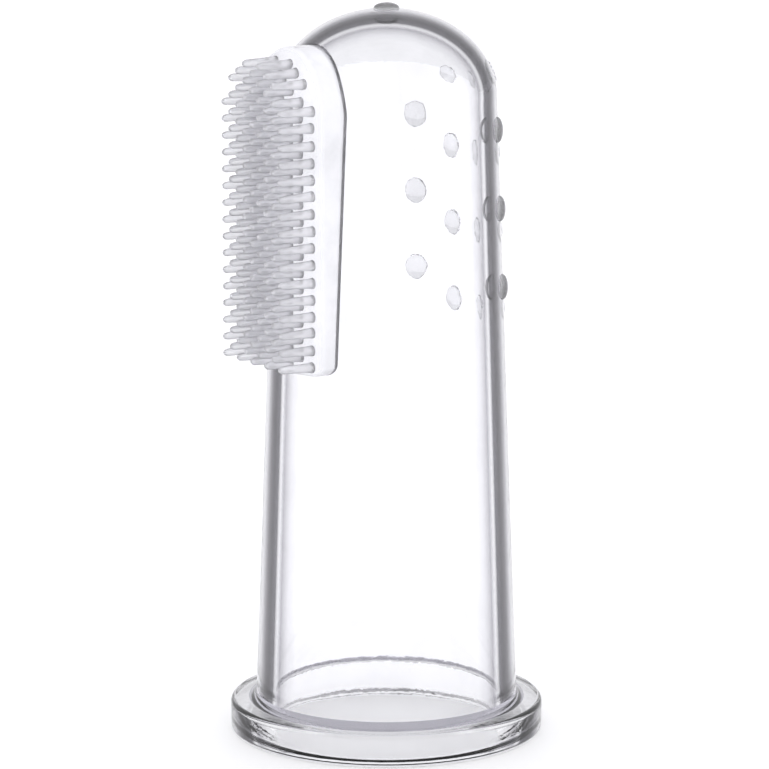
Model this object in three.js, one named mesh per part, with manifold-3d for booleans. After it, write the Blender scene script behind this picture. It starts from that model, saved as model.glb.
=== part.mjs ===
// Finger toothbrush: a clear silicone finger sleeve with a gripping flange, a brush pad on one side
// and a field of massage nubs on the other. Millimetres, +Z up. The origin is the centre of the
// flange's underside, the brush faces -Y and the nubs face +Y.
import * as THREE from "three";
import { mergeVertices } from "three/addons/utils/BufferGeometryUtils.js";
import Module from "manifold-3d";

// Sleeve: a slightly conical tube closed by a low elliptical dome.
const SLEEVE_HEIGHT = 56.8; // underside of the flange to the crown
const FOOT_RADIUS = 10.25; // outside, where the sleeve leaves the flange
const SHOULDER_RADIUS = 8.5; // outside, where the dome starts
const DOME_HEIGHT = 6.8;
const WALL = 1.4;
const FOOT_FILLET = 0.35;

// Flange round the open end.
const FLANGE_LIP = 2.0; // how far it stands out past the sleeve's foot
const FLANGE_THICKNESS = 2.5;
const FLANGE_EDGE = 0.35; // rounding of its edges

// Brush pad, an upright tab with a round top. Its outer face stands parallel to the sleeve's axis.
const PAD_HALF_WIDTH = 5.0;
const PAD_LENGTH = 24.7;
const PAD_TOP_DROP = 2.4; // crown of the sleeve down to the pad's top
const PAD_LOW_THICKNESS = 0.95; // at the pad's lower end, where the sleeve is widest
const PAD_DOME_THICKNESS = 1.5;
const PAD_CORNER = 0.9;
const LAND_THICKNESS = 0.4; // the outer layer of the pad that carries the bristles

// Bristles, all parallel, with their tips in one plane.
const BRISTLE_LENGTH = 2.0; // from the pad's face along its middle
const BRISTLE_ROOT_RADIUS = 0.4;
const BRISTLE_TIP_RADIUS = 0.3;
const BRISTLE_PITCH = 1.3; // up a column
const COLUMN_PITCH = 1.04;
const BRISTLE_MARGIN = 0.8; // pad's edge to the nearest bristle's axis
const BRISTLE_SIDES = 5;

// Massage nubs: low round bumps in four staggered columns, and one on the crown.
const NUB_RADIUS = 1.0;
const NUB_HEIGHT = 0.45;
const NUB_PITCH = 6.1; // up a column
const NUB_FIELD_DROP = 5.3; // crown down to the highest nubs of the inner columns
const NUB_COLUMNS = [
  { angle: -41, count: 3, drop: 0.64 },
  { angle: -16, count: 4, drop: 0 },
  { angle: 16, count: 4, drop: 0 },
  { angle: 41, count: 3, drop: 0.64 },
]; // angle from +Y in degrees, and how many pitches lower the column starts

const SEAM = 0.05; // gap left between neighbouring sub-parts
const TURN_STEPS = 48;
const DOME_STEPS = 9;

const CONE_BOTTOM = FLANGE_THICKNESS;
const CONE_TOP = SLEEVE_HEIGHT - DOME_HEIGHT;
const FLANGE_RADIUS = FOOT_RADIUS + FLANGE_LIP;
const PAD_TOP = SLEEVE_HEIGHT - PAD_TOP_DROP;
const PAD_LOW = PAD_TOP - PAD_LENGTH;
const PAD_RADIUS = coneRadius(PAD_LOW) + PAD_LOW_THICKNESS;
const TIP_PLANE = PAD_RADIUS + BRISTLE_LENGTH;

const wasm = await Module();
wasm.setup();

function coneRadius(z) {
  const share = (z - CONE_BOTTOM) / (CONE_TOP - CONE_BOTTOM);
  return FOOT_RADIUS + (SHOULDER_RADIUS - FOOT_RADIUS) * share;
}

// A three.js geometry as a solid that can be joined and cut.
function solid(geometry) {
  const bare = geometry.index ? geometry.toNonIndexed() : geometry.clone();
  bare.deleteAttribute("normal");
  bare.deleteAttribute("uv");
  const merged = mergeVertices(bare, 1e-4);
  return new wasm.Manifold(
    new wasm.Mesh({
      numProp: 3,
      vertProperties: new Float32Array(merged.attributes.position.array),
      triVerts: new Uint32Array(merged.index.array),
    }),
  );
}

// A closed profile of [radius, height] points turned round the Z axis.
function turned(profile) {
  const points = profile.map(([r, z]) => new THREE.Vector2(Math.max(r, 0), z));
  return solid(new THREE.LatheGeometry(points, TURN_STEPS).rotateX(Math.PI / 2));
}

// Points of a quarter ellipse from its rim at height z up to the axis.
function domePoints(radius, height, z) {
  const points = [];
  for (let i = 0; i <= DOME_STEPS; i++) {
    const turn = (i / DOME_STEPS) * (Math.PI / 2);
    points.push([i === DOME_STEPS ? 0 : radius * Math.cos(turn), z + height * Math.sin(turn)]);
  }
  return points;
}

// A domed plug as large as the sleeve's outside, grown by a margin.
function sleeveOutside(grow) {
  const low = coneRadius(CONE_BOTTOM - 1) + grow;
  return turned([
    [0, CONE_BOTTOM - 1],
    [low, CONE_BOTTOM - 1],
    ...domePoints(SHOULDER_RADIUS + grow, DOME_HEIGHT + grow, CONE_TOP),
  ]);
}

// A domed plug whose outside is the pad's face, sunk by a depth.
function padOutside(sink) {
  const radius = PAD_RADIUS - sink;
  const height = DOME_HEIGHT + PAD_DOME_THICKNESS - sink;
  return turned([[0, PAD_LOW - 2], [radius, PAD_LOW - 2], ...domePoints(radius, height, CONE_TOP)]);
}

function sleeve() {
  const foot = CONE_BOTTOM + SEAM;
  const inside = domePoints(SHOULDER_RADIUS - WALL, DOME_HEIGHT - WALL, CONE_TOP).reverse();
  return turned([
    [FOOT_RADIUS - WALL, foot],
    [FOOT_RADIUS + FOOT_FILLET, foot],
    [FOOT_RADIUS + FOOT_FILLET * 0.3, foot + FOOT_FILLET * 0.3],
    [coneRadius(foot + FOOT_FILLET), foot + FOOT_FILLET],
    ...domePoints(SHOULDER_RADIUS, DOME_HEIGHT, CONE_TOP),
    ...inside,
    [FOOT_RADIUS - WALL, foot],
  ]);
}

// The flange is a flat ring with rounded edges, open to the same bore as the sleeve.
function flange() {
  const bore = FOOT_RADIUS - WALL;
  const corner = (r, z, start) =>
    [0, 1, 2].map((i) => {
      const turn = start + (i * Math.PI) / 4;
      return [r + FLANGE_EDGE * Math.cos(turn), z + FLANGE_EDGE * Math.sin(turn)];
    });
  const rim = FLANGE_RADIUS - FLANGE_EDGE;
  return turned([
    [bore, FLANGE_EDGE],
    [bore + FLANGE_EDGE, 0],
    ...corner(rim, FLANGE_EDGE, -Math.PI / 2),
    ...corner(rim, FLANGE_THICKNESS - FLANGE_EDGE, 0),
    [bore, FLANGE_THICKNESS],
    [bore, FLANGE_EDGE],
  ]);
}

// The pad's outline, seen from the front, as a bar that runs from the sleeve's axis to the bristles.
function padOutline() {
  const side = PAD_HALF_WIDTH;
  const shape = new THREE.Shape();
  shape.moveTo(side - PAD_CORNER, PAD_LOW);
  shape.absarc(side - PAD_CORNER, PAD_LOW + PAD_CORNER, PAD_CORNER, -Math.PI / 2, 0);
  shape.absarc(0, PAD_TOP - side, side, 0, Math.PI);
  shape.absarc(-side + PAD_CORNER, PAD_LOW + PAD_CORNER, PAD_CORNER, Math.PI, Math.PI * 1.5);
  const bar = { depth: TIP_PLANE, bevelEnabled: false, curveSegments: 8 };
  return solid(new THREE.ExtrudeGeometry(shape, bar).rotateX(Math.PI / 2));
}

// The pad's backing, between the sleeve and the lands that carry the bristles.
function padBacking() {
  const backing = padOutside(LAND_THICKNESS).subtract(sleeveOutside(SEAM));
  return backing.intersect(padOutline());
}

// One tapered bristle with a rounded tip. It points along -Y and starts well behind the pad's
// face, where the column cuts it off.
function bristle(x, z) {
  const start = PAD_RADIUS / 2;
  const shaft = TIP_PLANE - BRISTLE_TIP_RADIUS;
  const face = Math.sqrt(padRadiusAt(z) ** 2 - x ** 2);
  const profile = [
    [0, start],
    [BRISTLE_ROOT_RADIUS, start],
    [BRISTLE_ROOT_RADIUS, face],
    [BRISTLE_TIP_RADIUS, shaft],
    [BRISTLE_TIP_RADIUS * 0.7, shaft + BRISTLE_TIP_RADIUS * 0.7],
    [0, TIP_PLANE],
  ].map(([r, y]) => new THREE.Vector2(r, y));
  const lathe = new THREE.LatheGeometry(profile, BRISTLE_SIDES);
  return solid(lathe.rotateX(Math.PI).translate(x, 0, z));
}

// Radius of the pad's face at a height, over its straight part and its dome.
function padRadiusAt(z) {
  const rise = Math.max(z - CONE_TOP, 0) / (DOME_HEIGHT + PAD_DOME_THICKNESS);
  return PAD_RADIUS * Math.sqrt(1 - Math.min(rise, 0.99) ** 2);
}

// Heights of a column's bristles. Every other column is half a pitch higher.
function bristleHeights(column, x) {
  const inset = PAD_HALF_WIDTH - BRISTLE_MARGIN + COLUMN_PITCH / 4;
  const roundTop = PAD_TOP - PAD_HALF_WIDTH;
  const highest = roundTop + Math.sqrt(Math.max(inset ** 2 - x ** 2, 0));
  const lowest = PAD_LOW + BRISTLE_MARGIN + (Math.abs(column) % 2) * (BRISTLE_PITCH / 2);
  const count = Math.floor((highest - lowest) / BRISTLE_PITCH) + 1;
  return Array.from({ length: count }, (_, i) => lowest + i * BRISTLE_PITCH);
}

// One column of bristles on its own strip of the pad's outer layer. The outermost strips are wider.
function bristleColumn(column, last) {
  const x = column * COLUMN_PITCH;
  const half = (COLUMN_PITCH - SEAM) / 2;
  const left = column === -last ? -PAD_HALF_WIDTH - 1 : x - half;
  const right = column === last ? PAD_HALF_WIDTH + 1 : x + half;
  const slab = new THREE.BoxGeometry(right - left, TIP_PLANE * 2, SLEEVE_HEIGHT * 2);
  const strip = solid(slab.translate((left + right) / 2, -TIP_PLANE, 0));
  const heights = bristleHeights(column, x);
  const bristles = heights.map((z) => bristle(x, z));
  return bristles
    .reduce((all, one) => all.add(one), padOutside(0).intersect(padOutline()).intersect(strip))
    .subtract(padOutside(LAND_THICKNESS - SEAM));
}

// Where a nub sits on the sleeve: its point and the surface's outward direction there.
function nubSeat(angle, z) {
  const rise = Math.min(Math.max(z - CONE_TOP, 0) / DOME_HEIGHT, 1);
  const onDome = SHOULDER_RADIUS * Math.sqrt(1 - rise ** 2);
  const radius = z > CONE_TOP ? onDome : coneRadius(z);
  const taper = (FOOT_RADIUS - SHOULDER_RADIUS) / (CONE_TOP - CONE_BOTTOM);
  const domeSlope = (rise * SHOULDER_RADIUS ** 2) / (DOME_HEIGHT * Math.max(onDome, 1e-3));
  const climb = z > CONE_TOP ? domeSlope : taper;
  const turn = THREE.MathUtils.degToRad(angle);
  const out = new THREE.Vector3(Math.sin(turn), Math.cos(turn), climb).normalize();
  const point = new THREE.Vector3(radius * Math.sin(turn), radius * Math.cos(turn), z);
  return { point, out };
}

// A low round bump that follows the sleeve's surface underneath.
function nub(angle, z) {
  const { point, out } = nubSeat(angle, z);
  const ball = new THREE.SphereGeometry(1, 12, 6).rotateX(Math.PI / 2);
  ball.scale(NUB_RADIUS, NUB_RADIUS, NUB_HEIGHT);
  ball.applyQuaternion(new THREE.Quaternion().setFromUnitVectors(new THREE.Vector3(0, 0, 1), out));
  ball.translate(point.x, point.y, point.z);
  return solid(ball).subtract(sleeveOutside(SEAM));
}

const part = new THREE.Group();
part.name = "finger_toothbrush";

// Adds a solid to the part as a named mesh with a material of its own.
function place(name, made, look) {
  const mesh = made.getMesh();
  const geometry = new THREE.BufferGeometry();
  geometry.setAttribute("position", new THREE.BufferAttribute(mesh.vertProperties, 3));
  geometry.setIndex(new THREE.BufferAttribute(mesh.triVerts, 1));
  geometry.computeVertexNormals();
  const material = new THREE.MeshStandardMaterial({ metalness: 0, transparent: true, ...look });
  const node = new THREE.Mesh(geometry, material);
  node.name = name;
  part.add(node);
}

const CLEAR = { color: 0xe6e8ef, roughness: 0.12, opacity: 0.35 };
const MILKY = { color: 0xf0f0f6, roughness: 0.3, opacity: 0.6 };

place("finger_sleeve", sleeve(), CLEAR);
place("grip_flange", flange(), CLEAR);
place("brush_pad", padBacking(), CLEAR);

const last = Math.floor((PAD_HALF_WIDTH - BRISTLE_MARGIN) / COLUMN_PITCH);
for (let column = -last; column <= last; column++) {
  const name = "bristle_column_" + (column + last + 1);
  place(name, bristleColumn(column, last), MILKY);
}

NUB_COLUMNS.forEach(({ angle, count, drop }, side) => {
  const highest = SLEEVE_HEIGHT - NUB_FIELD_DROP - drop * NUB_PITCH;
  for (let i = 0; i < count; i++) {
    const name = "nub_" + "abcd"[side] + (i + 1);
    place(name, nub(angle, highest - i * NUB_PITCH), MILKY);
  }
});
place("nub_crown", nub(0, SLEEVE_HEIGHT), MILKY);

export default part;
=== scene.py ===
"""Looks of a clear silicone finger toothbrush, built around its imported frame."""

import logging
import math
from dataclasses import dataclass, field
from enum import Enum, IntEnum

import bmesh
import bpy
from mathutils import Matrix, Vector


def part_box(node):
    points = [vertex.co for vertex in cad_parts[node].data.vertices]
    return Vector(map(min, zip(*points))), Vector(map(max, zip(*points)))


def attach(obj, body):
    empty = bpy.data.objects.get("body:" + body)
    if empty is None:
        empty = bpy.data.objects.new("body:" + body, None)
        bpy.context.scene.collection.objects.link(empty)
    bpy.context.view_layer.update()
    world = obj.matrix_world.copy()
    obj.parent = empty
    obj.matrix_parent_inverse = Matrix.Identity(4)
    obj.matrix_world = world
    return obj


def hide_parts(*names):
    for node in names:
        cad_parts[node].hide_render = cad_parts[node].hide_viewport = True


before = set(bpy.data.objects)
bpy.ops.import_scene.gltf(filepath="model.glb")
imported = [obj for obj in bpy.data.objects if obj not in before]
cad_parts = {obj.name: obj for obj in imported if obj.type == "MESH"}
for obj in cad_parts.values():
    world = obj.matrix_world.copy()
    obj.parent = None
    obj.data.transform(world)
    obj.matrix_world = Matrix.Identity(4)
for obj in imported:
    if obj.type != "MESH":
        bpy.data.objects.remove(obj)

MM = 0.001
BODY = "root"
LOG = logging.getLogger("finger_toothbrush")
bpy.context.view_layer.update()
MERGE_DISTANCE = 0.0005 * MM
AXIS_RADIUS = 1e-7  # closer to the axis than this counts as on it

Point2 = tuple[float, float]
Colour = tuple[float, float, float]


class Slot(Enum):
    """The record's material slots."""

    CLEAR = "clear_silicone"
    BRISTLE = "bristle_silicone"
    NUB = "nub_silicone"


class SleevePart(IntEnum):
    """The sleeve's finishes, in the order of its material slots."""

    OUTSIDE = 0
    BORE = 1
    # the fillet, with painted shade in its crease
    ROOT = 2


class PadPart(IntEnum):
    """The pad's finishes, in the order of its material slots."""

    FACE = 0
    SIDE = 1
    BACK = 2


# ---------------------------------------------------------------- node helpers


class Tree:
    """A thin wrapper that adds and joins nodes in a shader or geometry tree."""

    def __init__(self, tree: bpy.types.NodeTree) -> None:
        """Wraps a tree.

        Args:
            tree: The node tree to fill.
        """
        self.tree = tree

    def add(self, kind: str, inputs: dict | None = None, **settings: object) -> bpy.types.Node:
        """Adds a node.

        Args:
            kind: The node's type name.
            inputs: Socket name or index to a plain value or an output socket.
            settings: Properties of the node, such as operation.

        Returns:
            The new node.
        """
        node = self.tree.nodes.new(kind)
        for name, value in settings.items():
            setattr(node, name, value)
        for key, value in (inputs or {}).items():
            self.feed(node.inputs[key], value)
        return node

    def feed(self, socket: bpy.types.NodeSocket, value: object) -> None:
        """Sets a socket to a plain value, or links an output to it.

        Args:
            socket: The input socket.
            value: A plain value or an output socket.
        """
        if isinstance(value, bpy.types.NodeSocket):
            self.tree.links.new(value, socket)
        else:
            socket.default_value = value

    def math(self, operation: str, *values: object) -> bpy.types.NodeSocket:
        """Adds a Math node.

        Args:
            operation: The node's operation.
            values: Numbers or output sockets, in order.

        Returns:
            The node's output.
        """
        node = self.add("ShaderNodeMath", operation=operation)
        for socket, value in zip(node.inputs, values):
            self.feed(socket, value)
        return node.outputs[0]


def new_socket(tree: bpy.types.NodeTree, name: str, kind: str, default: object = None,
               output: bool = False) -> None:
    """Adds an interface socket to a group.

    Args:
        tree: The group's tree.
        name: The socket's name.
        kind: The socket's type, without its NodeSocket prefix.
        default: The value it starts with.
        output: True for an output.
    """
    side = "OUTPUT" if output else "INPUT"
    socket = tree.interface.new_socket(name=name, in_out=side, socket_type="NodeSocket" + kind)
    if default is not None:
        socket.default_value = default


# ------------------------------------------------------------------- finishes


BLOTCH_SCALE = 210.0
HAZE_RANGE = (0.48, 0.72)  # blotch values where the haze starts and is full


def silicone_skin_group() -> bpy.types.NodeTree:
    """The surface of a moulded silicone part: slow swells, fine orange peel and faint haze.

    Returns:
        A shader group with Roughness, Height and Haze outputs.
    """
    tree = bpy.data.node_groups.new("silicone_skin", "ShaderNodeTree")
    new_socket(tree, "Swell Scale", "Float", 120.0)
    new_socket(tree, "Peel Scale", "Float", 1400.0)
    new_socket(tree, "Peel Share", "Float", 0.25)
    new_socket(tree, "Gloss Roughness", "Float", 0.03)
    new_socket(tree, "Haze Roughness", "Float", 0.12)
    new_socket(tree, "Roughness", "Float", output=True)
    new_socket(tree, "Height", "Float", output=True)
    new_socket(tree, "Haze", "Float", output=True)
    build = Tree(tree)
    given = build.add("NodeGroupInput").outputs
    place = build.add("ShaderNodeTexCoord").outputs["Object"]
    swell = build.add("ShaderNodeTexNoise",
                      {"Vector": place, "Scale": given["Swell Scale"], "Detail": 2.0})
    peel = build.add("ShaderNodeTexNoise",
                     {"Vector": place, "Scale": given["Peel Scale"], "Detail": 3.0})
    blotch = build.add("ShaderNodeTexNoise",
                       {"Vector": place, "Scale": BLOTCH_SCALE, "Detail": 5.0, "Roughness": 0.62})
    haze = build.add("ShaderNodeMapRange",
                     {"Value": blotch.outputs["Fac"], "From Min": HAZE_RANGE[0],
                      "From Max": HAZE_RANGE[1]})
    rough = build.add("ShaderNodeMapRange",
                      {"Value": haze.outputs["Result"], "To Min": given["Gloss Roughness"],
                       "To Max": given["Haze Roughness"]})
    fine = build.math("MULTIPLY", peel.outputs["Fac"], given["Peel Share"])
    height = build.math("ADD", swell.outputs["Fac"], fine)
    build.add("NodeGroupOutput",
              {"Roughness": rough.outputs["Result"], "Height": height,
               "Haze": haze.outputs["Result"]})
    return tree


Stops = tuple[tuple[float, float], ...]

# Painted shade: each finish's base colour darkens with the viewing angle along these stops; the clear
# sleeve's stops also paint a thin light line inside its dark edge band.
CLEAR_EDGE_SHADE_AND_HIGHLIGHT: Stops = ((0.0, 1.0), (0.31, 0.99), (0.38, 0.86), (0.455, 0.50), (0.495, 0.85),
                     (0.53, 0.20), (0.60, 0.11), (0.67, 0.15), (0.73, 0.36), (0.80, 0.70),
                     (1.0, 0.90))
BORE_EDGE_SHADE: Stops = ((0.0, 1.0), (0.6, 0.995), (0.85, 0.96), (1.0, 0.92))
SOFT_EDGE_SHADE: Stops = ((0.0, 1.0), (0.5, 0.99), (0.8, 0.93), (1.0, 0.84))
ROUND_EDGE_SHADE: Stops = ((0.0, 1.0), (0.40, 0.98), (0.70, 0.91), (0.88, 0.80), (1.0, 0.76))
FAINT_EDGE_SHADE: Stops = ((0.0, 1.0), (0.5, 0.99), (0.8, 0.95), (1.0, 0.88))


@dataclass(frozen=True)
class Silicone:
    """A clear silicone finish.

    Its edge stops are painted shade: they darken the base colour from a face seen straight on (0)
    to one seen at a glancing angle (1), in place of the dark edges that refraction gives a clear
    wall.
    """

    name: str
    face: Colour
    shade: Colour  # the tint of the darkest painted edge shade
    # stops of painted edge shade, keyed on the viewing angle
    edge: Stops
    transmission: float
    gloss_roughness: float
    haze_roughness: float
    swell_scale: float = 120.0
    peel_scale: float = 1400.0
    peel_share: float = 0.25
    relief: float = 0.02 * MM
    shadow: float = 0.05  # how much of a shadow ray one face stops
    haze_share: float = 0.06
    ior: float = 1.41

    def through(self, share: float) -> tuple[float, float, float, float]:
        """The painted edge shade's base colour that lets a share of light through, tinted more the
        darker it is.

        Light is tinted only on its way in, and only by the base colour's square root, so the
        share is squared.

        Args:
            share: From 0, none, to 1, all.

        Returns:
            Red, green, blue and an alpha of 1.
        """
        mixed = [(f * share * (1 - (1 - s) * (1 - share))) ** 2
                 for f, s in zip(self.face, self.shade)]
        return (mixed[0], mixed[1], mixed[2], 1.0)

    def build(self, skin: bpy.types.NodeTree) -> bpy.types.Material:
        """Makes the material.

        Args:
            skin: The shared silicone_skin group.

        Returns:
            The finished material.
        """
        material = bpy.data.materials.new(self.name)
        material.use_nodes = True
        build = Tree(material.node_tree)
        shader = material.node_tree.nodes["Principled BSDF"]
        surface = build.add("ShaderNodeGroup", node_tree=skin)
        for name, value in (("Swell Scale", self.swell_scale), ("Peel Scale", self.peel_scale),
                            ("Peel Share", self.peel_share),
                            ("Gloss Roughness", self.gloss_roughness),
                            ("Haze Roughness", self.haze_roughness)):
            surface.inputs[name].default_value = value
        # Painted edge shade: the Layer Weight facing darkens the base colour through the edge stops.
        glancing = build.add("ShaderNodeLayerWeight", {"Blend": 0.5})
        ramp = build.add("ShaderNodeValToRGB", {"Fac": glancing.outputs["Facing"]})
        elements = ramp.color_ramp.elements
        elements[0].position, elements[0].color = self.edge[0][0], self.through(self.edge[0][1])
        elements[1].position, elements[1].color = self.edge[-1][0], self.through(self.edge[-1][1])
        for place, share in self.edge[1:-1]:
            elements.new(place).color = self.through(share)
        cloud = build.math("MULTIPLY_ADD", surface.outputs["Haze"], -self.haze_share, 1.0)
        edge_shade_and_haze = build.add("ShaderNodeMix", data_type="RGBA", blend_type="MULTIPLY")
        build.feed(edge_shade_and_haze.inputs[0], 1.0)
        build.feed(edge_shade_and_haze.inputs[6], ramp.outputs["Color"])
        build.feed(edge_shade_and_haze.inputs[7], cloud)
        bump = build.add("ShaderNodeBump",
                         {"Height": surface.outputs["Height"], "Distance": self.relief,
                          "Strength": 1.0})
        path = build.add("ShaderNodeLightPath")
        solid = build.math("MULTIPLY_ADD", path.outputs["Is Shadow Ray"], self.shadow - 1.0, 1.0)
        build.feed(shader.inputs["Base Color"], edge_shade_and_haze.outputs[2])
        build.feed(shader.inputs["Roughness"], surface.outputs["Roughness"])
        build.feed(shader.inputs["Normal"], bump.outputs["Normal"])
        build.feed(shader.inputs["Alpha"], solid)
        build.feed(shader.inputs["Transmission Weight"], self.transmission)
        build.feed(shader.inputs["IOR"], self.ior)
        return material


CLEAR = (0.992, 0.992, 0.998)
# the tint of the painted edge shade
VIOLET_GREY_SHADE_TINT = (0.93, 0.90, 1.0)
SLEEVE_FINISH = Silicone("clear_sleeve_silicone", CLEAR, VIOLET_GREY_SHADE_TINT, CLEAR_EDGE_SHADE_AND_HIGHLIGHT, 1.0, 0.012, 0.04)
BORE_FINISH = Silicone("clear_bore_silicone", CLEAR, VIOLET_GREY_SHADE_TINT, BORE_EDGE_SHADE, 1.0, 0.012, 0.04)
# Painted shade: a darker colour on the fillet in the crease where the flange meets the sleeve.
ROOT_SHADE_FINISH = Silicone("flange_root_painted_shade", (0.55, 0.54, 0.59), VIOLET_GREY_SHADE_TINT, FAINT_EDGE_SHADE,
                       1.0, 0.02, 0.06)
PAD_FINISH = Silicone("pad_silicone", (0.99, 0.99, 0.998), VIOLET_GREY_SHADE_TINT, SOFT_EDGE_SHADE,
                      0.8, 0.04, 0.12, swell_scale=500.0, relief=0.02 * MM)
PAD_SIDE_FINISH = Silicone("pad_side_silicone", (0.99, 0.99, 1.0), VIOLET_GREY_SHADE_TINT, SOFT_EDGE_SHADE,
                           0.55, 0.08, 0.20, swell_scale=700.0, relief=0.08 * MM, haze_share=0.12)
PAD_BACK_FINISH = Silicone("pad_back_silicone", CLEAR, VIOLET_GREY_SHADE_TINT, BORE_EDGE_SHADE,
                           1.0, 0.02, 0.02, relief=0.0, ior=1.0)
BRISTLE_FINISH = Silicone("bristle_silicone", (0.99, 0.99, 1.0), VIOLET_GREY_SHADE_TINT, ROUND_EDGE_SHADE,
                          0.7, 0.06, 0.16, swell_scale=900.0, relief=0.01 * MM)
NUB_FINISH = Silicone("nub_silicone", (0.995, 0.995, 1.0), VIOLET_GREY_SHADE_TINT, FAINT_EDGE_SHADE,
                      0.9, 0.06, 0.16, swell_scale=600.0, relief=0.01 * MM, ior=1.2)


# --------------------------------------------------------------- mesh helpers


def finished(name: str, bm: bmesh.types.BMesh, material: bpy.types.Material) -> bpy.types.Object:
    """Turns a bmesh into a smooth object at the origin.

    Args:
        name: The piece's name.
        bm: The filled bmesh, which is freed.
        material: Its finish.

    Returns:
        The linked object.
    """
    bmesh.ops.remove_doubles(bm, verts=bm.verts, dist=MERGE_DISTANCE)
    bmesh.ops.dissolve_degenerate(bm, edges=bm.edges, dist=MERGE_DISTANCE)
    bmesh.ops.recalc_face_normals(bm, faces=bm.faces)
    mesh = bpy.data.meshes.new(name)
    bm.to_mesh(mesh)
    bm.free()
    for face in mesh.polygons:
        face.use_smooth = True
    mesh.materials.append(material)
    piece = bpy.data.objects.new(name, mesh)
    bpy.context.scene.collection.objects.link(piece)
    return piece


def bridge(bm: bmesh.types.BMesh, rings: list[list[Vector]], loop: bool = False) -> None:
    """Joins rings of points with faces.

    Args:
        bm: The bmesh to fill.
        rings: Rings with the same number of points.
        loop: True to join the last ring to the first.
    """
    made = [[bm.verts.new(p) for p in ring] for ring in rings]
    count = len(made[0])
    pairs = list(zip(made, made[1:]))
    if loop:
        pairs.append((made[-1], made[0]))
    for low, high in pairs:
        for i in range(count):
            j = (i + 1) % count
            bm.faces.new((low[i], low[j], high[j], high[i]))


def turned(bm: bmesh.types.BMesh, profile: list[Point2], steps: int) -> None:
    """Turns a closed outline of (radius, height) round the upright axis.

    Args:
        bm: The bmesh to fill.
        profile: Points in order, without the first one repeated.
        steps: Faces round the turn.
    """
    turns = [2 * math.pi * i / steps for i in range(steps)]
    rings = [[Vector((r * math.sin(a), -r * math.cos(a), z)) for a in turns] for r, z in profile]
    bridge(bm, rings, loop=profile[0][0] > 0)


def arc(centre: Point2, radius: Point2, start: float, end: float, steps: int) -> list[Point2]:
    """Points along an elliptical arc.

    Args:
        centre: The ellipse's centre.
        radius: Its two semi-axes.
        start: First angle in degrees.
        end: Last angle in degrees.
        steps: Gaps between points.

    Returns:
        steps + 1 points.
    """
    points = []
    for i in range(steps + 1):
        turn = math.radians(start + (end - start) * i / steps)
        points.append((centre[0] + radius[0] * math.cos(turn),
                       centre[1] + radius[1] * math.sin(turn)))
    return points


def stand_for(piece: bpy.types.Object, nodes: list[str]) -> None:
    """Rides a piece on the part and hides the CAD nodes it stands for.

    Args:
        piece: The finished piece.
        nodes: The CAD nodes it replaces.
    """
    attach(piece, BODY)
    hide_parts(*nodes)
    LOG.info("%s: %d faces, stands for %s", piece.name, len(piece.data.polygons),
             ", ".join(nodes))


# ------------------------------------------------------------- sub-assemblies


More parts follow.
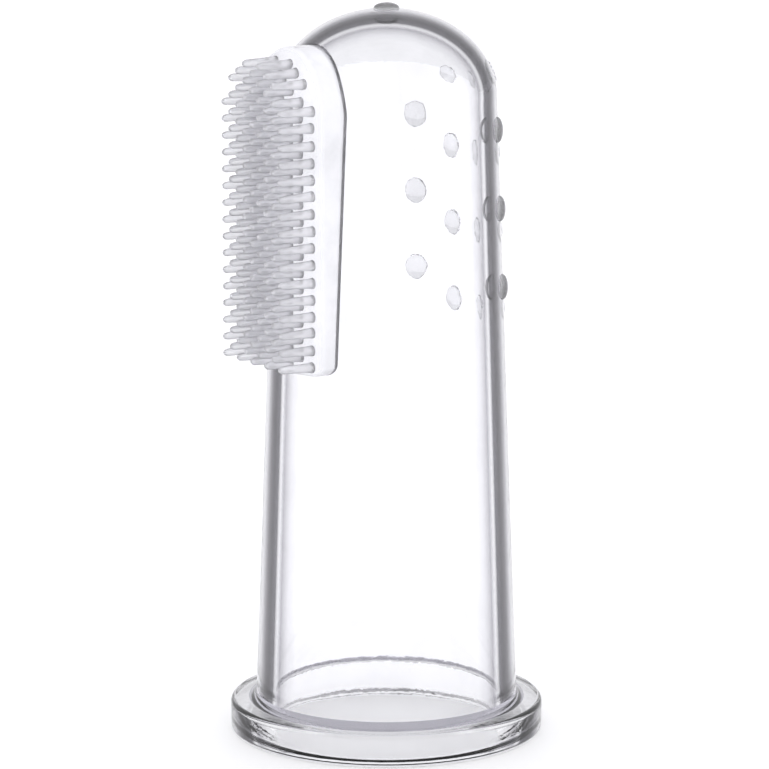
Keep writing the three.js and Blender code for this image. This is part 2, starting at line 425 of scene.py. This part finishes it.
@dataclass
class Sleeve:
    """The finger sleeve and the flange round its mouth, one smooth turned wall."""

    wall: float = 1.4 * MM
    foot_radius: float = 10.25 * MM
    shoulder_radius: float = 8.5 * MM
    dome_height: float = 6.8 * MM
    flange_edge: float = 0.4 * MM
    foot_fillet: float = 0.6 * MM
    mouth_edge: float = 0.3 * MM
    steps: int = 192
    cone_steps: int = 28
    dome_steps: int = 40
    flange_reach: float = 0.01 * MM  # a face this far over the flange still counts as its own
    flat_slope: float = 0.2  # a normal that climbs more than this isn't on the upright rim
    crown: float = field(init=False)
    flange_radius: float = field(init=False)
    flange_top: float = field(init=False)

    def __post_init__(self) -> None:
        """Takes the overall sizes from the frame."""
        self.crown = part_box("finger_sleeve")[1].z
        self.flange_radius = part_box("grip_flange")[1].x
        self.flange_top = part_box("grip_flange")[1].z

    @property
    def dome_start(self) -> float:
        """Height where the cone ends and the dome starts."""
        return self.crown - self.dome_height

    def radius(self, z: float) -> float:
        """Outside radius at a height, over the cone and the dome.

        Args:
            z: The height.

        Returns:
            The radius there.
        """
        if z > self.dome_start:
            rise = min((z - self.dome_start) / self.dome_height, 1.0)
            return self.shoulder_radius * math.sqrt(max(1 - rise * rise, 0.0))
        share = (z - self.flange_top) / (self.dome_start - self.flange_top)
        return self.foot_radius + (self.shoulder_radius - self.foot_radius) * share

    def climb(self, z: float) -> float:
        """How far the outward direction points up at a height, per unit outwards.

        Args:
            z: The height.

        Returns:
            The slope there.
        """
        if z <= self.dome_start:
            fall = self.foot_radius - self.shoulder_radius
            return fall / (self.dome_start - self.flange_top)
        rise = (z - self.dome_start) / self.dome_height
        across = self.shoulder_radius / self.dome_height
        return across * rise / math.sqrt(max(1 - rise * rise, 1e-6))

    def profile(self) -> list[Point2]:
        """The wall's outline: flange, foot, cone, dome, then back down the inside.

        Returns:
            Points of (radius, height).
        """
        edge = self.flange_edge
        rim = self.flange_radius - edge
        bore = self.foot_radius - self.wall
        foot = self.radius(self.flange_top + self.foot_fillet)
        fillet = self.foot_fillet
        mouth = self.mouth_edge
        points = arc((bore + mouth, mouth), (mouth, mouth), 180, 270, 5)
        points += [(bore + mouth + (rim - bore - mouth) * i / 6, 0.0) for i in range(1, 6)]
        points += arc((rim, edge), (edge, edge), -90, 0, 6)
        points += arc((rim, self.flange_top - edge), (edge, edge), 0, 90, 6)
        points += arc((foot + fillet, self.flange_top + fillet), (fillet, fillet), 270, 180, 7)
        low = self.flange_top + fillet
        for i in range(1, self.cone_steps):
            z = low + (self.dome_start - low) * i / self.cone_steps
            points.append((self.radius(z), z))
        points += arc((0, self.dome_start), (self.shoulder_radius, self.dome_height), 0, 90,
                      self.dome_steps)
        inner = (self.shoulder_radius - self.wall, self.dome_height - self.wall)
        points += arc((0, self.dome_start), inner, 90, 0, self.dome_steps)
        for i in range(1, self.cone_steps):
            z = self.dome_start + (self.flange_top - self.dome_start) * i / self.cone_steps
            points.append((self.radius(z) - self.wall, z))
        points.append((bore, self.flange_top))
        points.append((bore, self.flange_top / 2))
        return points

    def in_shaded_foot(self, centre: Vector) -> bool:
        """Tells whether a face is in the fillet between the flange and the sleeve's outside, where
        shade is painted.

        Args:
            centre: The face's centre.

        Returns:
            True if it is.
        """
        across = math.hypot(centre.x, centre.y)
        above = centre.z - self.flange_top
        return 0 < above < self.foot_fillet and across > self.foot_radius - self.wall / 2

    def on_flange_flat(self, centre: Vector, normal: Vector) -> bool:
        """True for a face of the flange that isn't its upright outer wall."""
        low = centre.z <= self.flange_top + self.flange_reach
        return low and abs(normal.z) > self.flat_slope

    def in_bore(self, centre: Vector) -> bool:
        """Tells whether a face is inside the wall, under the dome or down the bore.

        Args:
            centre: The face's centre.

        Returns:
            True if it is.
        """
        across = math.hypot(centre.x, centre.y)
        middle = self.wall / 2
        if centre.z <= self.dome_start:
            return across < self.radius(max(centre.z, self.flange_top)) - middle
        rise = (centre.z - self.dome_start) / (self.dome_height - middle)
        return (across / (self.shoulder_radius - middle)) ** 2 + rise * rise < 1

    def build(self, outside: bpy.types.Material, bore: bpy.types.Material,
              root: bpy.types.Material) -> bpy.types.Object:
        """Makes the sleeve and its flange.

        Args:
            outside: The finish of the outside of the wall and the flange.
            bore: The finish of the inside of the wall.
            root: The finish of the fillet, a darker colour that paints shade into the crease between
                the flange and the sleeve.

        Returns:
            The piece.
        """
        bm = bmesh.new()
        profile = [(r if r > AXIS_RADIUS else 0.0, z) for r, z in self.profile()]
        turned(bm, profile, self.steps)
        piece = finished("finger_sleeve_with_flange", bm, outside)
        piece.data.materials.append(bore)
        piece.data.materials.append(root)
        for face in piece.data.polygons:
            # the fillet faces in the crease get the darker painted shade
            if self.in_shaded_foot(face.center):
                face.material_index = SleevePart.ROOT
            elif self.on_flange_flat(face.center, face.normal) or self.in_bore(face.center):
                face.material_index = SleevePart.BORE
        stand_for(piece, ["finger_sleeve", "grip_flange"])
        return piece


@dataclass
class BrushPad:
    """The raised tab on the sleeve that carries the bristles."""

    sleeve: Sleeve
    low_thickness: float = 0.95 * MM
    dome_thickness: float = 1.5 * MM
    corner: float = 0.9 * MM
    edge: float = 0.35 * MM
    sunk: float = 0.25 * MM
    side_slope: float = 0.6  # a face whose normal has less of Y than this is on the side wall
    half_width: float = field(init=False)
    low: float = field(init=False)
    top: float = field(init=False)
    face_radius: float = field(init=False)

    def __post_init__(self) -> None:
        """Takes the outline from the frame."""
        low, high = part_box("brush_pad")
        self.half_width = high.x
        self.low = low.z
        self.top = high.z
        self.face_radius = self.sleeve.radius(self.low) + self.low_thickness

    def face(self, x: float, z: float) -> float:
        """Distance of the pad's outer face in front of the sleeve's axis.

        Args:
            x: How far to the side.
            z: The height.

        Returns:
            The distance.
        """
        height = self.sleeve.dome_height + self.dome_thickness
        rise = max(z - self.sleeve.dome_start, 0.0) / height
        radius = self.face_radius * math.sqrt(max(1 - rise * rise, 0.0))
        return math.sqrt(max(radius * radius - x * x, 0.0))

    def seat(self, x: float, z: float) -> float:
        """Distance of the pad's hidden back, sunk a little into the sleeve's wall."""
        radius = self.sleeve.radius(z) - self.sunk
        return math.sqrt(max(radius * radius - x * x, 0.0))

    def outline(self, inset: float) -> list[Point2]:
        """The upright outline with a round top and small lower corners.

        Args:
            inset: How far inside the pad's own edge it runs.

        Returns:
            Points of (x, z), evenly enough spaced for smooth shading.
        """
        side = self.half_width - inset
        corner = self.corner - inset
        centre = self.half_width - self.corner
        base = self.low + self.corner
        shoulder = self.top - self.half_width
        points = arc((centre, base), (corner, corner), -90, 0, 6)
        points += [(side, base + (shoulder - base) * i / 24) for i in range(1, 24)]
        points += arc((0, shoulder), (side, side), 0, 180, 48)
        points += [(-side, shoulder + (base - shoulder) * i / 24) for i in range(1, 24)]
        points += arc((-centre, base), (corner, corner), 180, 270, 6)
        points += [(-centre + 2 * centre * i / 12, self.low + inset) for i in range(1, 12)]
        return points

    def shrunk(self, inset: float, share: float) -> list[Point2]:
        """The inset outline drawn in towards the pad's middle line.

        Args:
            inset: How far inside the pad's own edge the full outline runs.
            share: From 0, on the middle line, to 1, the full outline.

        Returns:
            Points of (x, z).
        """
        low = self.low + self.half_width
        high = self.top - self.half_width
        points = []
        for x, z in self.outline(inset):
            middle = min(max(z, low), high)
            points.append((x * share, middle + (z - middle) * share))
        return points

    def build(self, face_finish: bpy.types.Material, side_finish: bpy.types.Material,
              back_finish: bpy.types.Material) -> bpy.types.Object:
        """Makes the pad: a hidden back, a side wall, a rounded edge and a curved face.

        Args:
            face_finish: The finish round the bristles.
            side_finish: The finish of the side wall.
            back_finish: The finish inside the sleeve's wall, where nothing bends the light.

        Returns:
            The piece.
        """
        rings: list[list[Vector]] = []
        for share in (0.0, 0.25, 0.5, 0.75, 1.0):
            rings.append([Vector((x, -self.seat(x, z), z)) for x, z in self.shrunk(0, share)])
        for share in (0.33, 0.66):
            ring = []
            for x, z in self.outline(0):
                back, front = self.seat(x, z), self.face(x, z) - self.edge
                ring.append(Vector((x, -(back + (front - back) * share), z)))
            rings.append(ring)
        for i in range(7):
            turn = math.pi / 2 * i / 6
            inset = self.edge * (1 - math.cos(turn))
            drop = self.edge * (1 - math.sin(turn))
            rings.append([Vector((x, -(self.face(x, z) - drop), z))
                          for x, z in self.outline(inset)])
        for share in (0.94, 0.86, 0.76, 0.64, 0.5, 0.34, 0.17, 0.0):
            rings.append([Vector((x, -self.face(x, z), z))
                          for x, z in self.shrunk(self.edge, share)])
        bm = bmesh.new()
        bridge(bm, rings)
        piece = finished("brush_pad_tab", bm, face_finish)
        piece.data.materials.append(side_finish)
        piece.data.materials.append(back_finish)
        for polygon in piece.data.polygons:
            if abs(polygon.normal.y) < self.side_slope:
                polygon.material_index = PadPart.SIDE
            elif polygon.normal.y > 0:
                polygon.material_index = PadPart.BACK
        stand_for(piece, ["brush_pad"])
        return piece


def evaluated_mesh(name: str, tree: bpy.types.NodeTree, values: dict[str, object],
                   carrier: bpy.types.Mesh) -> bpy.types.Object:
    """Runs a geometry tree once and keeps its result as a plain mesh.

    Args:
        name: The new piece's name.
        tree: The geometry tree.
        values: Input name to value.
        carrier: The mesh that the tree starts from.

    Returns:
        The plain, linked object.
    """
    host = bpy.data.objects.new(name + "_host", carrier)
    bpy.context.scene.collection.objects.link(host)
    modifier = host.modifiers.new("build", "NODES")
    modifier.node_group = tree
    for item in tree.interface.items_tree:
        if item.in_out == "INPUT" and item.name in values:
            modifier[item.identifier] = values[item.name]
    graph = bpy.context.evaluated_depsgraph_get()
    mesh = bpy.data.meshes.new_from_object(host.evaluated_get(graph), depsgraph=graph)
    mesh.name = name
    host.modifiers.remove(modifier)
    bpy.data.objects.remove(host)
    piece = bpy.data.objects.new(name, mesh)
    bpy.context.scene.collection.objects.link(piece)
    return piece


@dataclass
class Bristles:
    """Upright columns of tapered bristles on the pad, all parallel, tips in one plane."""

    pad: BrushPad
    root_radius: float = 0.40 * MM
    neck_radius: float = 0.35 * MM
    tip_radius: float = 0.30 * MM
    neck_place: float = 0.62  # share of the length from the tip
    root_place: float = 0.9
    foot_swell: float = 1.1  # radius at the pad over the root's radius
    lean: float = 1.6  # degrees that a bristle may stand off square
    first_seed: int = 20
    pitch: float = 1.3 * MM
    column_pitch: float = 1.04 * MM
    margin: float = 0.8 * MM
    sunk: float = 0.12 * MM
    sides: int = 10
    columns: int = 9
    tip_plane: float = field(init=False)

    def __post_init__(self) -> None:
        """Takes the plane of the tips from the frame."""
        self.tip_plane = -min(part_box(f"bristle_column_{i + 1}")[0].y for i in range(self.columns))

    def unit(self) -> bpy.types.Object:
        """One bristle with its tip at the origin and its root one metre along +Y."""
        length = self.tip_plane - self.pad.face_radius + self.sunk
        dome = self.tip_radius / length
        profile = [(0.0, 0.0)]
        for i in range(1, 4):
            turn = math.pi / 2 * i / 3
            profile.append((self.tip_radius * math.sin(turn), dome * (1 - math.cos(turn))))
        profile += [(self.neck_radius, self.neck_place), (self.root_radius, self.root_place),
                    (self.root_radius * self.foot_swell, 1.0), (0.0, 1.0)]
        bm = bmesh.new()
        turned(bm, profile, self.sides)
        bmesh.ops.remove_doubles(bm, verts=bm.verts, dist=AXIS_RADIUS)
        for vert in bm.verts:
            vert.co = Vector((vert.co.x, vert.co.z, vert.co.y))
        bmesh.ops.recalc_face_normals(bm, faces=bm.faces)
        mesh = bpy.data.meshes.new("bristle_unit")
        bm.to_mesh(mesh)
        bm.free()
        unit = bpy.data.objects.new("bristle_unit", mesh)
        bpy.context.scene.collection.objects.link(unit)
        return unit

    def tree(self) -> bpy.types.NodeTree:
        """The geometry tree that stands bristles along one column.

        Returns:
            A tree whose inputs are the column's place and the pad's sizes.
        """
        tree = bpy.data.node_groups.new("bristle_column", "GeometryNodeTree")
        new_socket(tree, "Geometry", "Geometry")
        for name in ("Bristle", "Finish"):
            new_socket(tree, name, "Object" if name == "Bristle" else "Material")
        new_socket(tree, "Count", "Int", 1)
        for name in ("Column Offset", "First Height", "Pitch", "Tip Plane", "Face Radius",
                     "Dome Start", "Dome Height", "Sunk", "Lean"):
            new_socket(tree, name, "Float", 0.0)
        new_socket(tree, "Seed", "Int", 7)
        new_socket(tree, "Geometry", "Geometry", output=True)
        build = Tree(tree)
        given = build.add("NodeGroupInput").outputs
        front = build.math("MULTIPLY", given["Tip Plane"], -1.0)
        start = build.add("ShaderNodeCombineXYZ",
                          {"X": given["Column Offset"], "Y": front, "Z": given["First Height"]})
        step = build.add("ShaderNodeCombineXYZ", {"Z": given["Pitch"]})
        line = build.add("GeometryNodeMeshLine",
                         {"Count": given["Count"], "Start Location": start.outputs[0],
                          "Offset": step.outputs[0]})
        here = build.add("GeometryNodeInputPosition").outputs[0]
        height = build.add("ShaderNodeSeparateXYZ", {0: here}).outputs["Z"]
        above = build.math("MAXIMUM", build.math("SUBTRACT", height, given["Dome Start"]), 0.0)
        rise = build.math("DIVIDE", above, given["Dome Height"])
        flat = build.math("SQRT", build.math("SUBTRACT", 1.0, build.math("POWER", rise, 2.0)))
        radius = build.math("MULTIPLY", flat, given["Face Radius"])
        across = build.math("POWER", given["Column Offset"], 2.0)
        face = build.math("SQRT",
                          build.math("SUBTRACT", build.math("POWER", radius, 2.0), across))
        length = build.math("ADD", build.math("SUBTRACT", given["Tip Plane"], face),
                            given["Sunk"])
        size = build.add("ShaderNodeCombineXYZ", {"X": 1.0, "Y": length, "Z": 1.0})
        lean_low = build.math("MULTIPLY", given["Lean"], -1.0)
        low = build.add("ShaderNodeCombineXYZ", {"X": lean_low, "Z": lean_low})
        high = build.add("ShaderNodeCombineXYZ", {"X": given["Lean"], "Z": given["Lean"]})
        lean = build.add("FunctionNodeRandomValue", data_type="FLOAT_VECTOR")
        build.feed(lean.inputs[0], low.outputs[0])
        build.feed(lean.inputs[1], high.outputs[0])
        build.feed(lean.inputs["Seed"], given["Seed"])
        unit = build.add("GeometryNodeObjectInfo", {"Object": given["Bristle"]})
        stand = build.add("GeometryNodeInstanceOnPoints",
                          {"Points": line.outputs[0], "Instance": unit.outputs["Geometry"],
                           "Rotation": lean.outputs[0], "Scale": size.outputs[0]})
        real = build.add("GeometryNodeRealizeInstances", {0: stand.outputs[0]})
        smooth = build.add("GeometryNodeSetShadeSmooth", {0: real.outputs[0]})
        dress = build.add("GeometryNodeSetMaterial",
                          {"Geometry": smooth.outputs[0], "Material": given["Finish"]})
        build.add("NodeGroupOutput", {0: dress.outputs[0]})
        return tree

    def column_heights(self, column: int) -> tuple[float, int]:
        """Where a column starts and how many bristles it has.

        Args:
            column: Its number counted from the middle one.

        Returns:
            The lowest bristle's height and the count.
        """
        x = column * self.column_pitch
        inset = self.pad.half_width - self.margin + self.column_pitch / 4
        shoulder = self.pad.top - self.pad.half_width
        highest = shoulder + math.sqrt(max(inset * inset - x * x, 0.0))
        lowest = self.pad.low + self.margin + (abs(column) % 2) * self.pitch / 2
        return lowest, int((highest - lowest) / self.pitch) + 1

    def build(self, material: bpy.types.Material) -> list[bpy.types.Object]:
        """Makes one plain mesh for each column.

        Args:
            material: The bristles' finish.

        Returns:
            The pieces.
        """
        unit, tree = self.unit(), self.tree()
        pieces = []
        for number in range(1, self.columns + 1):
            column = number - (self.columns + 1) // 2
            first, count = self.column_heights(column)
            values = {"Bristle": unit, "Finish": material, "Count": count,
                      "Column Offset": column * self.column_pitch, "First Height": first,
                      "Pitch": self.pitch, "Tip Plane": self.tip_plane,
                      "Face Radius": self.pad.face_radius,
                      "Dome Start": self.pad.sleeve.dome_start,
                      "Dome Height": self.pad.sleeve.dome_height + self.pad.dome_thickness,
                      "Sunk": self.sunk, "Lean": math.radians(self.lean),
                      "Seed": self.first_seed + number}
            piece = evaluated_mesh(f"bristles_{number}", tree, values,
                                   bpy.data.meshes.new("seed"))
            stand_for(piece, [f"bristle_column_{number}"])
            pieces.append(piece)
        bpy.data.objects.remove(unit)
        return pieces


@dataclass
class Nubs:
    """Low round massage bumps on the side away from the brush, and one on the crown."""

    sleeve: Sleeve
    radius: float = 1.0 * MM
    height: float = 0.45 * MM
    sunk: float = 0.12 * MM
    sides: int = 28
    foot_share: float = 0.95  # radius of the sunk foot over the nub's radius
    rise_start: float = 12.0  # degrees round the nub's section where its curve starts
    crown_reach: float = 0.1 * MM  # a nub this close to the axis is the crown's

    def unit(self) -> bpy.types.Object:
        """One nub standing on the origin, pointing up +Z."""
        profile = [(0.0, -self.sunk), (self.radius * self.foot_share, -self.sunk), (self.radius, 0.0)]
        profile += arc((0, 0), (self.radius, self.height), self.rise_start, 90, 8)
        profile[-1] = (0.0, self.height)
        bm = bmesh.new()
        turned(bm, profile, self.sides)
        bmesh.ops.remove_doubles(bm, verts=bm.verts, dist=AXIS_RADIUS)
        bmesh.ops.recalc_face_normals(bm, faces=bm.faces)
        mesh = bpy.data.meshes.new("nub_unit")
        bm.to_mesh(mesh)
        bm.free()
        unit = bpy.data.objects.new("nub_unit", mesh)
        bpy.context.scene.collection.objects.link(unit)
        return unit

    def tree(self) -> bpy.types.NodeTree:
        """The geometry tree that seats a nub on every carrier point, along its out direction."""
        tree = bpy.data.node_groups.new("nub_column", "GeometryNodeTree")
        new_socket(tree, "Geometry", "Geometry")
        new_socket(tree, "Nub", "Object")
        new_socket(tree, "Finish", "Material")
        new_socket(tree, "Geometry", "Geometry", output=True)
        build = Tree(tree)
        given = build.add("NodeGroupInput").outputs
        out = build.add("GeometryNodeInputNamedAttribute", {"Name": "out"},
                        data_type="FLOAT_VECTOR")
        aim = build.add("FunctionNodeAlignRotationToVector", axis="Z")
        build.feed(aim.inputs["Vector"], out.outputs[0])
        unit = build.add("GeometryNodeObjectInfo", {"Object": given["Nub"]})
        seat = build.add("GeometryNodeInstanceOnPoints",
                         {"Points": given["Geometry"], "Instance": unit.outputs["Geometry"],
                          "Rotation": aim.outputs[0]})
        real = build.add("GeometryNodeRealizeInstances", {0: seat.outputs[0]})
        smooth = build.add("GeometryNodeSetShadeSmooth", {0: real.outputs[0]})
        dress = build.add("GeometryNodeSetMaterial",
                          {"Geometry": smooth.outputs[0], "Material": given["Finish"]})
        build.add("NodeGroupOutput", {0: dress.outputs[0]})
        return tree

    def carrier(self, nodes: list[str]) -> bpy.types.Mesh:
        """Points on the sleeve where the CAD nubs are, each with its outward direction.

        Args:
            nodes: The CAD nodes to stand for.

        Returns:
            A mesh of loose points with an "out" attribute.
        """
        points, outs = [], []
        for node in nodes:
            low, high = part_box(node)
            middle = (low + high) / 2
            across = Vector((middle.x, middle.y, 0))
            if across.length < self.crown_reach:
                points.append(Vector((0, 0, self.sleeve.crown)))
                outs.append(Vector((0, 0, 1)))
                continue
            across.normalize()
            points.append(across * self.sleeve.radius(middle.z) + Vector((0, 0, middle.z)))
            outs.append((across + Vector((0, 0, self.sleeve.climb(middle.z)))).normalized())
        mesh = bpy.data.meshes.new("nub_points")
        mesh.from_pydata([tuple(p) for p in points], [], [])
        attribute = mesh.attributes.new("out", "FLOAT_VECTOR", "POINT")
        attribute.data.foreach_set("vector", [c for out in outs for c in out])
        return mesh

    def build(self, material: bpy.types.Material) -> list[bpy.types.Object]:
        """Makes one plain mesh for each column of nubs and one for the crown.

        Args:
            material: The nubs' finish.

        Returns:
            The pieces.
        """
        unit, tree = self.unit(), self.tree()
        columns: dict[str, list[str]] = {}
        for node in sorted(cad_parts):
            if node.startswith("nub_"):
                key = "crown" if node == "nub_crown" else node[4]
                columns.setdefault(key, []).append(node)
        pieces = []
        for key, nodes in columns.items():
            values = {"Nub": unit, "Finish": material}
            piece = evaluated_mesh(f"massage_nubs_{key}", tree, values, self.carrier(nodes))
            stand_for(piece, nodes)
            pieces.append(piece)
        bpy.data.objects.remove(unit)
        return pieces


# ---------------------------------------------------------------------- stage


def direction(azimuth: float, elevation: float) -> Vector:
    """The way from the brush towards a camera or a lamp.

    Args:
        azimuth: Degrees round the brush from -Y towards +X.
        elevation: Degrees above the floor.

    Returns:
        A unit vector.
    """
    turn, lift = math.radians(azimuth), math.radians(elevation)
    return Vector((math.sin(turn) * math.cos(lift), -math.cos(turn) * math.cos(lift),
                   math.sin(lift)))


@dataclass(frozen=True)
class Lamp:
    """A soft square light that faces the brush."""

    name: str
    swing: float  # degrees round from the camera
    elevation: float  # degrees above the floor
    distance: float  # metres
    size: float  # side in metres
    power: float  # watts


LAMPS = (Lamp("top_soft", 0, 82, 0.9, 0.9, 0.9),
         Lamp("left_strip", -75, 28, 0.8, 0.25, 0.35),
         Lamp("right_strip", 80, 25, 0.8, 0.25, 0.3))


@dataclass
class Studio:
    """A pale floor, soft lights and a long lens."""

    azimuth: float = 58.0
    elevation: float = 11.26
    distance: float = 350 * MM
    lens: float = 210.85
    pivot_height: float = 29.0 * MM
    aim_drop: float = 1.58 * MM
    aim_side: float = -0.15 * MM
    floor_half: float = 2.5
    floor_drop: float = 0.02 * MM
    floor_colour: Colour = (0.9, 0.9, 0.91)
    floor_glow: float = 0.2
    world_colour: Colour = (0.93, 0.93, 0.95)

    def camera(self) -> None:
        """Places the camera round the brush and points it just below its middle."""
        turn = math.radians(self.azimuth)
        back = direction(self.azimuth, self.elevation)
        right = Vector((math.cos(turn), math.sin(turn), 0))
        pivot = Vector((0, 0, self.pivot_height))
        camera = bpy.data.objects.new("camera", bpy.data.cameras.new("camera"))
        camera.location = pivot + back * self.distance
        aim = pivot + right * self.aim_side - Vector((0, 0, self.aim_drop)) - camera.location
        camera.rotation_mode = "QUATERNION"
        camera.rotation_quaternion = aim.to_track_quat("-Z", "Y")
        camera.data.lens = self.lens
        camera.data.clip_start = 0.01
        bpy.context.scene.collection.objects.link(camera)
        bpy.context.scene.camera = camera

    def floor(self) -> None:
        """Lays a wide pale floor under the brush."""
        half = self.floor_half
        mesh = bpy.data.meshes.new("floor")
        corners = [(-half, -half, 0), (half, -half, 0), (half, half, 0), (-half, half, 0)]
        mesh.from_pydata(corners, [], [(0, 1, 2, 3)])
        material = bpy.data.materials.new("pale_floor")
        material.use_nodes = True
        shader = material.node_tree.nodes["Principled BSDF"]
        shader.inputs["Base Color"].default_value = (*self.floor_colour, 1)
        shader.inputs["Roughness"].default_value = 0.6
        shader.inputs["Emission Color"].default_value = (1, 1, 1, 1)
        shader.inputs["Emission Strength"].default_value = self.floor_glow
        mesh.materials.append(material)
        floor = bpy.data.objects.new("floor", mesh)
        floor.location.z = -self.floor_drop
        bpy.context.scene.collection.objects.link(floor)

    def light(self, lamp: Lamp) -> None:
        """Adds a lamp.

        Args:
            lamp: Its place, size and power.
        """
        back = direction(self.azimuth + lamp.swing, lamp.elevation)
        data = bpy.data.lights.new(lamp.name, "AREA")
        data.size = lamp.size
        data.energy = lamp.power
        light = bpy.data.objects.new(lamp.name, data)
        light.location = back * lamp.distance + Vector((0, 0, self.pivot_height))
        light.rotation_mode = "QUATERNION"
        light.rotation_quaternion = (-back).to_track_quat("-Z", "Y")
        bpy.context.scene.collection.objects.link(light)

    def build(self) -> None:
        """Sets the world, the floor, the lights and the camera."""
        world = bpy.data.worlds.new("studio")
        world.use_nodes = True
        background = world.node_tree.nodes["Background"]
        background.inputs["Color"].default_value = (*self.world_colour, 1)
        background.inputs["Strength"].default_value = 1.0
        scene = bpy.context.scene
        scene.world = world
        scene.view_settings.view_transform = "Standard"
        self.floor()
        for lamp in LAMPS:
            self.light(lamp)
        self.camera()


def main() -> None:
    """Builds the studio and every sub-assembly in order."""
    logging.basicConfig(level=logging.INFO, format="%(message)s")
    Studio().build()
    skin = silicone_skin_group()
    sleeve = Sleeve()
    sleeve.build(SLEEVE_FINISH.build(skin), BORE_FINISH.build(skin), ROOT_SHADE_FINISH.build(skin))
    pad = BrushPad(sleeve)
    pad.build(PAD_FINISH.build(skin), PAD_SIDE_FINISH.build(skin), PAD_BACK_FINISH.build(skin))
    Bristles(pad).build(BRISTLE_FINISH.build(skin))
    Nubs(sleeve).build(NUB_FINISH.build(skin))


if __name__ == "__main__":
    main()
